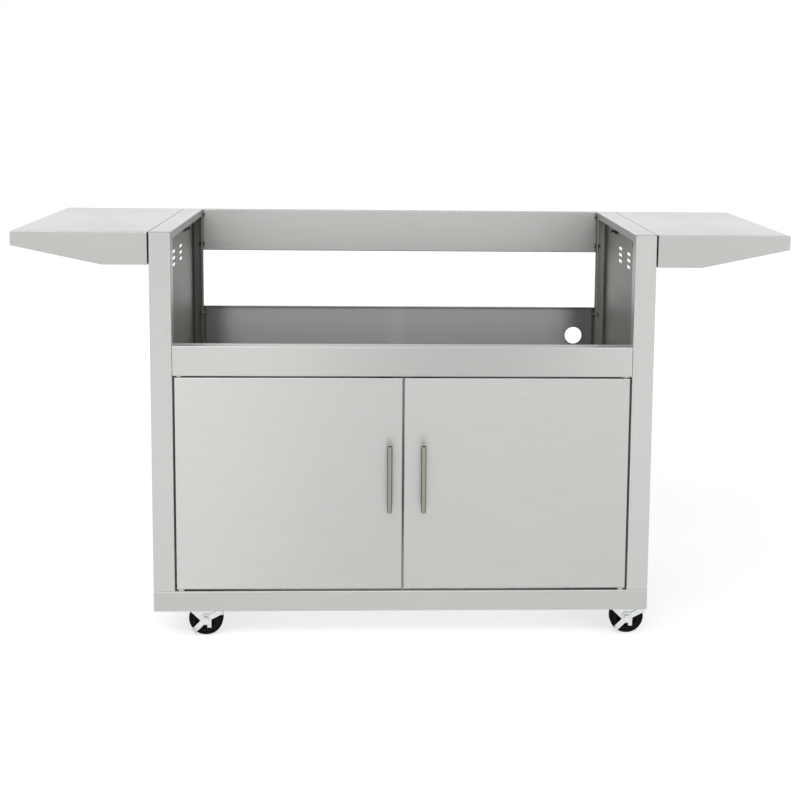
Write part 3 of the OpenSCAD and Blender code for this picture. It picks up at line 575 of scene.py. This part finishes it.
def add_rod(bm, place, radius, low, high, pitch=0, depth=0):
    """Adds a rod from low to high with chamfered ends. With a pitch, it has the ridges of a thread."""
    ease = 0.15 * radius  # Width of the chamfers
    rings = [(low, round_ring(radius - ease)), (low + ease, round_ring(radius))]
    if pitch:
        turns = max(1, int((high - low - 2 * ease) / pitch))
        step = (high - low - 2 * ease) / turns
        for k in range(turns):
            start = low + ease + k * step
            rings.append((start + 0.5 * step, round_ring(radius - depth)))
            rings.append((start + step, round_ring(radius)))
    else:
        rings.append((high - ease, round_ring(radius)))
    rings.append((high, round_ring(radius - ease)))
    add_turned(bm, place, rings, count=32)


def islands(name):
    """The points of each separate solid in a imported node, in the order of where the solids lie."""
    mesh = frame["nodes"][name].data
    points = {}
    parent = {}

    def root(key):
        while parent[key] != key:
            parent[key] = parent[parent[key]]
            key = parent[key]
        return key

    keys = [tuple(round(c, 6) for c in v.co) for v in mesh.vertices]
    for key in keys:
        parent.setdefault(key, key)
    for edge in mesh.edges:
        a, b = (root(keys[i]) for i in edge.vertices)
        parent[a] = b
    for key in set(keys):
        points.setdefault(root(key), []).append(Vector(key))

    def rounded_middle(found):
        return tuple(round(c, 3) for c in sum(found, Vector()) / len(found))

    return sorted(points.values(), key=rounded_middle)


def corners(points):
    """Lowest and highest corner of the box around some points."""
    low = Vector([min(p[i] for p in points) for i in range(3)])
    high = Vector([max(p[i] for p in points) for i in range(3)])
    return low, high


def bolt_place(points):
    """Where a bolt lies: a matrix from its own frame, with the head's outer face at Z = 0 and the
    tail towards +Z, and the bolt's length."""
    low, high = corners(points)
    axis = max(range(3), key=lambda i: high[i] - low[i])
    across = [i for i in range(3) if i != axis]
    middle = (low + high) / 2

    def reach(level):
        """How far the bolt's end at that level reaches from its axis."""
        centre = [middle[i] for i in across]
        near = [p for p in points if abs(p[axis] - level) < 0.01 * MM]
        return max(math.dist([p[i] for i in across], centre) for p in near)

    head_low = reach(low[axis]) > reach(high[axis])
    direction = Vector([0, 0, 0])
    direction[axis] = 1 if head_low else -1
    start = middle.copy()
    start[axis] = low[axis] if head_low else high[axis]
    turn = direction.to_track_quat("Z", "Y").to_matrix().to_4x4()
    return Matrix.Translation(start) @ turn, high[axis] - low[axis]


class BoltSize(NamedTuple):
    """In millimetres: radius of the rod, radius of the hexagons' corners, heights of head and nut."""

    rod: float
    hexagon: float
    head: float
    nut: float


M6 = BoltSize(rod=3, hexagon=5.77, head=4, nut=5)
M8 = BoltSize(rod=4, hexagon=7.5, head=5.3, nut=6.5)


def add_bolt(bm, place, length, size, tail, detail, discs=()):
    """Adds a bolt and its nut, beyond which the rod goes on by tail. discs are the radius, start and
    end of spacers and washers."""
    rod, hexagon, head, nut = (value * MM for value in size)
    head_place = place @ Matrix.Translation((0, 0, head)) @ Matrix.Rotation(math.pi, 4, "X")
    add_hexagon(bm, head_place, hexagon, 0, head, both=False)
    nut_end = length - tail
    add_hexagon(bm, place, hexagon, nut_end - nut, nut_end)
    add_rod(bm, place, rod, head / 2, nut_end - nut / 2)
    add_rod(bm, place, rod, nut_end - nut / 2, length, detail.thread_pitch, detail.thread_depth)
    for radius, low, high in discs:
        add_rod(bm, place, radius, low, high)


def bolts_piece(name, node, size, tail, material, detail, discs_for=None):
    """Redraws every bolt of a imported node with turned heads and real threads."""

    def build(bm):
        for points in islands(node):
            place, length = bolt_place(points)
            discs = discs_for(length) if discs_for else ()
            add_bolt(bm, place, length, size, tail, detail, discs)

    piece = new_piece(name, build, material, "cart")
    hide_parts(node)
    return piece


# Operators


LEAN = 0.5  # A face looks along an axis when its normal's part along it is more than this


class GRILLCART_OT_sheets(Operator):
    """Finish the posts, caps, rails, shelves, base and back in brushed stainless steel, with lighter and
    darker copies of its colour and darker mill faces that paint in light and shade
    """

    bl_idname = "grillcart.sheets"
    bl_label = "Brushed sheets"
    bl_options = {"REGISTER", "UNDO"}

    def execute(self, context):
        steel = context.scene.grill_cart.steel
        top = brushed_stainless("Brushed stainless shelf", steel.sheet, ALONG_X, steel)
        painted_shade_apron = brushed_stainless("Brushed stainless apron", steel.painted_shade_apron, ALONG_X, steel)
        # Painted shade: the base and the back rail and panel get the darker frame copy of the sheet's
        # colour
        across = brushed_stainless("Brushed stainless, grain across", steel.frame, ALONG_X, steel)
        deep = brushed_stainless("Brushed stainless, grain front to back", steel.sheet, ALONG_Y, steel)
        # Painted light: the posts get a lighter copy of the sheet's colour
        upright = brushed_stainless(
            "Brushed stainless, grain upright", steel.post, ALONG_Z, steel, turn=0.0
        )
        painted_shade_lip = brushed_stainless("Brushed stainless lip", steel.painted_shade_lip, ALONG_Y, steel)
        # Painted shade: the front rail gets a soft band of shade, darkest at dip
        dip = 0.12  # Where along X the front rail looks darkest, in metres
        rail = brushed_stainless(
            "Brushed stainless rail", steel.sheet, ALONG_X, steel, painted_shade_wave=(dip, steel.rail_painted_shade_depth)
        )
        mirror = brushed_stainless(
            "Brushed stainless back", steel.frame, ALONG_X, steel, roughness=0.27, stretch=1.0, depth=0.2
        )
        # Painted shade: the front posts' faces that look into the bay get the darker apron copy of the
        # steel's colour
        painted_shade_flank = brushed_stainless("Brushed stainless flank", steel.painted_shade_apron, ALONG_Z, steel, turn=0.0)
        # Painted shade: a dark mill finish for faces in the rear posts' recesses
        dull = mill_stainless("Mill finish inside the posts", steel.painted_shade_colour, steel, steel.painted_shade_edge)
        # Painted light: the right rear post's web gets a lighter mill colour than the left post's
        web = mill_stainless("Mill finish, right rear post", steel.painted_light_pocket, steel)
        dress(["base_pan", "back_rail"], across)
        dress(each("shelf"), top)
        dress(["front_rail"], rail)
        dress(["back_panel"], mirror)
        dress(each("side_cap"), deep)
        dress(each("post_front", "post_rear"), upright)
        for side in SIDES:
            # Painted shade: the upright faces of the shelves and caps get darker copies of the same
            # steel's colour
            dress_faces(f"shelf_{side}", painted_shade_apron, lambda normal: abs(normal.z) < LEAN)
            dress_faces(f"side_cap_{side}", painted_shade_lip, lambda normal: abs(normal.z) < LEAN)
        # Painted shade on the end tabs of the back rail and panel
        for name in ("back_rail", "back_panel"):
            dress_faces(name, dull, lambda normal: abs(normal.x) > LEAN)
        # Painted shade on the front posts' inner faces
        dress_faces("post_front_left", painted_shade_flank, lambda normal: normal.x > LEAN)
        dress_faces("post_front_right", painted_shade_flank, lambda normal: normal.x < -LEAN)
        # Painted shade: the rear posts' faces that look into the bay get the dark mill finish
        dress_faces("post_rear_left", dull, lambda normal: normal.y < -LEAN or normal.x > LEAN)
        dress_faces("post_rear_right", dull, lambda normal: normal.x < -LEAN)
        # Painted light on the right rear post's web
        dress_faces("post_rear_right", web, lambda normal: normal.y < -LEAN)
        return {"FINISHED"}


class GRILLCART_OT_doors(Operator):
    """Finish the door skins, their inner pans and their strikes"""

    bl_idname = "grillcart.doors"
    bl_label = "Doors"
    bl_options = {"REGISTER", "UNDO"}

    def execute(self, context):
        settings = context.scene.grill_cart
        steel = settings.steel
        # The band of painted shade is darkest at the cart's middle, which is here in the door's own
        # coordinates
        dip = -frame["nodes"]["door_skin_left"].matrix_world.translation.x
        # Painted light: the left door gets a lighter copy of the steel's colour, and a band of painted
        # shade
        left = brushed_stainless(
            "Brushed stainless left door", steel.left_door_lit, ALONG_X, steel, painted_shade_wave=(dip, steel.painted_shade_depth)
        )
        # Painted shade: the right door gets a darker copy of the steel's colour
        right = brushed_stainless("Brushed stainless right door", steel.right_door_shaded, ALONG_X, steel)
        dress(["door_skin_left"], left)
        dress(["door_skin_right"], right)
        # Partly painted shade: the door pans get the darkened inner colour
        dress(each("door_liner"), mill_stainless("Mill finish door pan", steel.inner, steel))
        strike = zinc_plated("Zinc plated strike", settings.metal.fastener, settings.metal.mottle)
        dress(each("strike", "hinge_pins", "handle_screws"), strike)
        return {"FINISHED"}


class GRILLCART_OT_inner(Operator):
    """Finish the side panels, shelf rails and base channels in mill finish stainless steel"""

    bl_idname = "grillcart.inner"
    bl_label = "Inner sheets"
    bl_options = {"REGISTER", "UNDO"}

    def execute(self, context):
        steel = context.scene.grill_cart.steel
        # Partly painted shade: the inner sheet's colour is darker than bare mill finish stainless
        mill = mill_stainless("Mill finish stainless", steel.inner, steel)
        dress(each("side_panel", "side_rail", "base_channel"), mill)
        return {"FINISHED"}


class GRILLCART_OT_handles(Operator):
    """Finish the handle bars and their posts"""

    bl_idname = "grillcart.handles"
    bl_label = "Handles"
    bl_options = {"REGISTER", "UNDO"}

    def execute(self, context):
        steel = context.scene.grill_cart.steel
        # Painted shade: the bars get a colour darker than the steel and a near black flank tint
        bar = satin_bar("Satin stainless bar", steel.handle, steel.painted_shade_flank)
        dress(each("handle_bar", "handle_posts"), bar)
        return {"FINISHED"}


class GRILLCART_OT_bolts(Operator):
    """Redraw the bolts with turned heads and threads, in zinc plated steel"""

    bl_idname = "grillcart.bolts"
    bl_label = "Bolts"
    bl_options = {"REGISTER", "UNDO"}

    def execute(self, context):
        metal, detail = context.scene.grill_cart.metal, context.scene.grill_cart.detail
        # Painted shade: dark zinc standing in for the dark things the bolts mirror
        zinc = zinc_plated("Zinc plated bolt, painted_shade", metal.bolt, metal.mottle)
        long_tail, short_tail = 9 * MM, 3 * MM

        def shelf_discs(length):
            """The spacer between shelf and post, and the washer under the nut."""
            radius, spacer_start, spacer_end, washer = 9 * MM, 6.5 * MM, 9.5 * MM, 1.6 * MM
            nut = length - long_tail - M8.nut * MM
            return [(radius, spacer_start, spacer_end), (radius, nut - washer, nut)]

        bolts_piece("shelf_bolts_turned", "shelf_bolts", M8, long_tail, zinc, detail, shelf_discs)
        bolts_piece("frame_bolts_turned", "frame_bolts", M6, short_tail, zinc, detail)
        bolts_piece("caster_bolts_turned", "caster_bolts", M8, short_tail, zinc, detail)
        return {"FINISHED"}


class GRILLCART_OT_hinges(Operator):
    """Finish the hinge bushes and the magnet catches, and add the catches' pole plates"""

    bl_idname = "grillcart.hinges"
    bl_label = "Bushes and catches"
    bl_options = {"REGISTER", "UNDO"}

    def execute(self, context):
        settings = context.scene.grill_cart
        plastic = settings.plastic
        nylon = moulded_plastic("Moulded nylon", plastic.nylon, plastic.grit, roughness=0.4, level=0.5)
        dress(["hinge_bushes"], nylon)
        dress(["magnet_catches"], moulded_plastic("Moulded ABS", plastic.catch, plastic.grit))
        poles = ground_steel("Ground steel pole plate")
        for side, points in zip(SIDES, islands("magnet_catches")):
            plates = self.pole_plates(*corners(points), settings.detail)
            new_piece(f"catch_poles_{side}", plates, poles, "cart")
        return {"FINISHED"}

    def pole_plates(self, low, high, detail):
        """Two flat plates that stand out of the front face of a catch with these corners."""
        margin, buried, thickness = 5 * MM, 2 * MM, 2 * MM
        levels = (low.z + 3 * MM, high.z - 5 * MM)

        def build(bm):
            for level in levels:
                add_block(
                    bm,
                    (low.x + margin, low.y - detail.pole_proud, level),
                    (high.x - margin, low.y + buried, level + thickness),
                )

        return build


class GRILLCART_OT_casters(Operator):
    """Finish the caster plates, forks, axles, balls and brake levers in zinc plated steel"""

    bl_idname = "grillcart.casters"
    bl_label = "Caster metal"
    bl_options = {"REGISTER", "UNDO"}

    def execute(self, context):
        metal = context.scene.grill_cart.metal
        zinc = zinc_plated("Zinc plated pressed steel", metal.caster, metal.mottle, roughness=0.3)
        dress([*each("plate", "fork", "axle", ends=CORNERS), *each("brake_lever"), "swivel_balls"], zinc)
        return {"FINISHED"}


class GRILLCART_OT_wheels(Operator):
    """Finish the hubs and treads, and add the hubs' moulded ribs"""

    bl_idname = "grillcart.wheels"
    bl_label = "Wheels"
    bl_options = {"REGISTER", "UNDO"}

    def execute(self, context):
        settings = context.scene.grill_cart
        plastic, detail = settings.plastic, settings.detail
        hub = moulded_plastic("Moulded polypropylene", plastic.hub, plastic.grit)
        rubber = tread_rubber("Vulcanised rubber", plastic.tread, plastic.grit)
        dress(each("hub", ends=CORNERS), hub)
        dress(each("tread", ends=CORNERS), rubber)
        for corner in CORNERS:
            ribs = self.ribs(f"hub_{corner}", detail)
            piece = new_piece(f"hub_ribs_{corner}", ribs, hub, f"wheel_{corner}")
            edge = piece.modifiers.new("Moulded edges", "BEVEL")
            edge.width = 0.3 * MM
            edge.segments = 2
        return {"FINISHED"}

    def ribs(self, node, detail):
        """Ribs on both faces of a hub, from the boss to the rim."""
        low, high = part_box(node)
        middle = (low + high) / 2
        half_web, half_rim = 3.5 * MM, 11 * MM
        boss_radius, rim_thickness = 9.5 * MM, 3.5 * MM
        outer = high.x - middle.x - rim_thickness

        def build(bm):
            for k in range(detail.rib_count):
                turn = Matrix.Translation(middle) @ Matrix.Rotation(
                    2 * math.pi * k / detail.rib_count, 4, "Y"
                )
                for face in (-1, 1):
                    ends = sorted((face * half_web, face * (half_rim - detail.rib_depth)))
                    add_block(
                        bm,
                        (boss_radius, ends[0], -detail.rib_thickness / 2),
                        (outer, ends[1], detail.rib_thickness / 2),
                        turn,
                    )

        return build


class GRILLCART_OT_stage(Operator):
    """Lay the floor, light the room and place the camera"""

    bl_idname = "grillcart.stage"
    bl_label = "Stage"
    bl_options = {"REGISTER", "UNDO"}

    def execute(self, context):
        stage = context.scene.grill_cart.stage
        self.floor(stage)
        self.room(stage)
        self.lamp("Key light", stage.key, place=(2.4, -3.5, 1.6), width=0.5, height=0.9)
        self.lamp("Fill light", stage.fill, place=(-1.2, -4.0, 3.4), width=6.0, height=1.4)
        self.lamp("Back light", stage.back, place=(0, 3.6, 2.4), width=8.0, height=1.2)
        self.camera(stage)
        bpy.context.scene.view_settings.view_transform = "Standard"
        return {"FINISHED"}

    def seen_directly(self, tree):
        """1 for rays that come from the eye, from a reflection or through glass, otherwise 0."""
        path = add(tree, "LightPath")
        first = add(
            tree, "Math", {"operation": "MAXIMUM"},
            {0: path.outputs["Is Camera Ray"], 1: path.outputs["Is Glossy Ray"]},
        )
        return add(
            tree, "Math", {"operation": "MAXIMUM"},
            {0: first.outputs[0], 1: path.outputs["Is Transmission Ray"]},
        ).outputs[0]

    def floor(self, stage):
        """A wide floor that takes the cart's shadow and fades to white away from it."""
        reach, near, far = 40, 1.1, 4.0  # Metres: to the edge, and to where the fade starts and ends
        bm = bmesh.new()
        bmesh.ops.create_grid(bm, x_segments=8, y_segments=8, size=reach)
        mesh = bpy.data.meshes.new("Floor")
        bm.to_mesh(mesh)
        bm.free()
        floor = bpy.data.objects.new("Floor", mesh)
        bpy.context.scene.collection.objects.link(floor)
        material, tree, shader = new_material("Painted studio floor", stage.floor, Roughness=0.9)
        shader.inputs["Specular IOR Level"].default_value = 0.0
        place = add(tree, "TexCoord").outputs["Object"]
        distance = add(tree, "VectorMath", {"operation": "LENGTH"}, {0: place}).outputs["Value"]
        strength = add(
            tree, "MapRange", {1: near, 2: far, 3: stage.glow, 4: stage.far_glow}, {0: distance}
        ).outputs[0]
        glow = add(tree, "Emission", {"Color": WHITE}, {"Strength": strength})
        dark = add(tree, "Emission", {"Strength": 0.0})
        seen = add(
            tree, "MixShader", None,
            {0: self.seen_directly(tree), 1: dark.outputs[0], 2: glow.outputs[0]},
        )
        both = add(tree, "AddShader", None, {0: shader.outputs[0], 1: seen.outputs[0]})
        tree.links.new(both.outputs[0], tree.nodes["Material Output"].inputs["Surface"])
        mesh.materials.append(material)

    def room(self, stage):
        """White all round for the eye and for reflections, and a weaker even light on the cart."""
        world = bpy.data.worlds.new("Room")
        world.use_nodes = True
        bpy.context.scene.world = world
        tree = world.node_tree
        strength = add(
            tree, "MapRange", {1: 0.0, 2: 1.0, 3: stage.world, 4: 1.0}, {0: self.seen_directly(tree)}
        )
        back = tree.nodes["Background"]
        back.inputs["Color"].default_value = WHITE
        tree.links.new(strength.outputs[0], back.inputs["Strength"])

    def lamp(self, name, power, place, width, height):
        """A soft rectangular light that faces the cart and isn't seen itself."""
        aim = Vector((0, 0, 0.5))
        lamp = bpy.data.lights.new(name, "AREA")
        lamp.energy = power
        lamp.shape = "RECTANGLE"
        lamp.size, lamp.size_y = width, height
        found = bpy.data.objects.new(name, lamp)
        bpy.context.scene.collection.objects.link(found)
        found.location = place
        found.rotation_euler = (aim - Vector(place)).to_track_quat("-Z", "Y").to_euler()
        found.visible_camera = False

    def camera(self, stage):
        """The camera at the photograph's viewing angle."""
        camera = bpy.data.cameras.new("Camera")
        camera.lens = stage.lens
        camera.sensor_width = 36
        camera.shift_x, camera.shift_y = stage.shift
        found = bpy.data.objects.new("Camera", camera)
        bpy.context.scene.collection.objects.link(found)
        turn = (
            Matrix.Rotation(-stage.yaw, 4, "Z")
            @ Matrix.Rotation(math.pi / 2 - stage.pitch, 4, "X")
            @ Matrix.Rotation(stage.roll, 4, "Z")
        )
        found.matrix_world = Matrix.Translation(stage.place) @ turn
        bpy.context.scene.camera = found


OPERATORS = (
    GRILLCART_OT_sheets,
    GRILLCART_OT_doors,
    GRILLCART_OT_inner,
    GRILLCART_OT_handles,
    GRILLCART_OT_bolts,
    GRILLCART_OT_hinges,
    GRILLCART_OT_casters,
    GRILLCART_OT_wheels,
    GRILLCART_OT_stage,
)


class GRILLCART_PT_panel(Panel):
    """Sidebar panel with the cart's settings and steps"""

    bl_idname = "GRILLCART_PT_panel"
    bl_label = "Grill cart"
    bl_space_type = "VIEW_3D"
    bl_region_type = "UI"
    bl_category = "Grill cart"

    def draw(self, context):
        settings = context.scene.grill_cart
        for group in ("steel", "metal", "plastic", "detail", "stage"):
            box = self.layout.box()
            box.label(text=group.capitalize())
            found = getattr(settings, group)
            for name in found.__annotations__:
                box.prop(found, name)
        for operator in OPERATORS:
            self.layout.operator(operator.bl_idname)


CLASSES = (
    CartSteel, CartMetal, CartPlastic, CartDetail, CartStage, CartSettings, *OPERATORS,
    GRILLCART_PT_panel,
)


def register():
    """Registers the classes and the cart's settings."""
    for found in CLASSES:
        bpy.utils.register_class(found)
    bpy.types.Scene.grill_cart = PointerProperty(type=CartSettings)


def unregister():
    """Takes back what register did."""
    del bpy.types.Scene.grill_cart
    for found in reversed(CLASSES):
        bpy.utils.unregister_class(found)


def main():
    """Runs every step in order."""
    register()
    for operator in OPERATORS:
        group, name = operator.bl_idname.split(".")
        getattr(getattr(bpy.ops, group), name)()


if __name__ == "__main__":
    main()
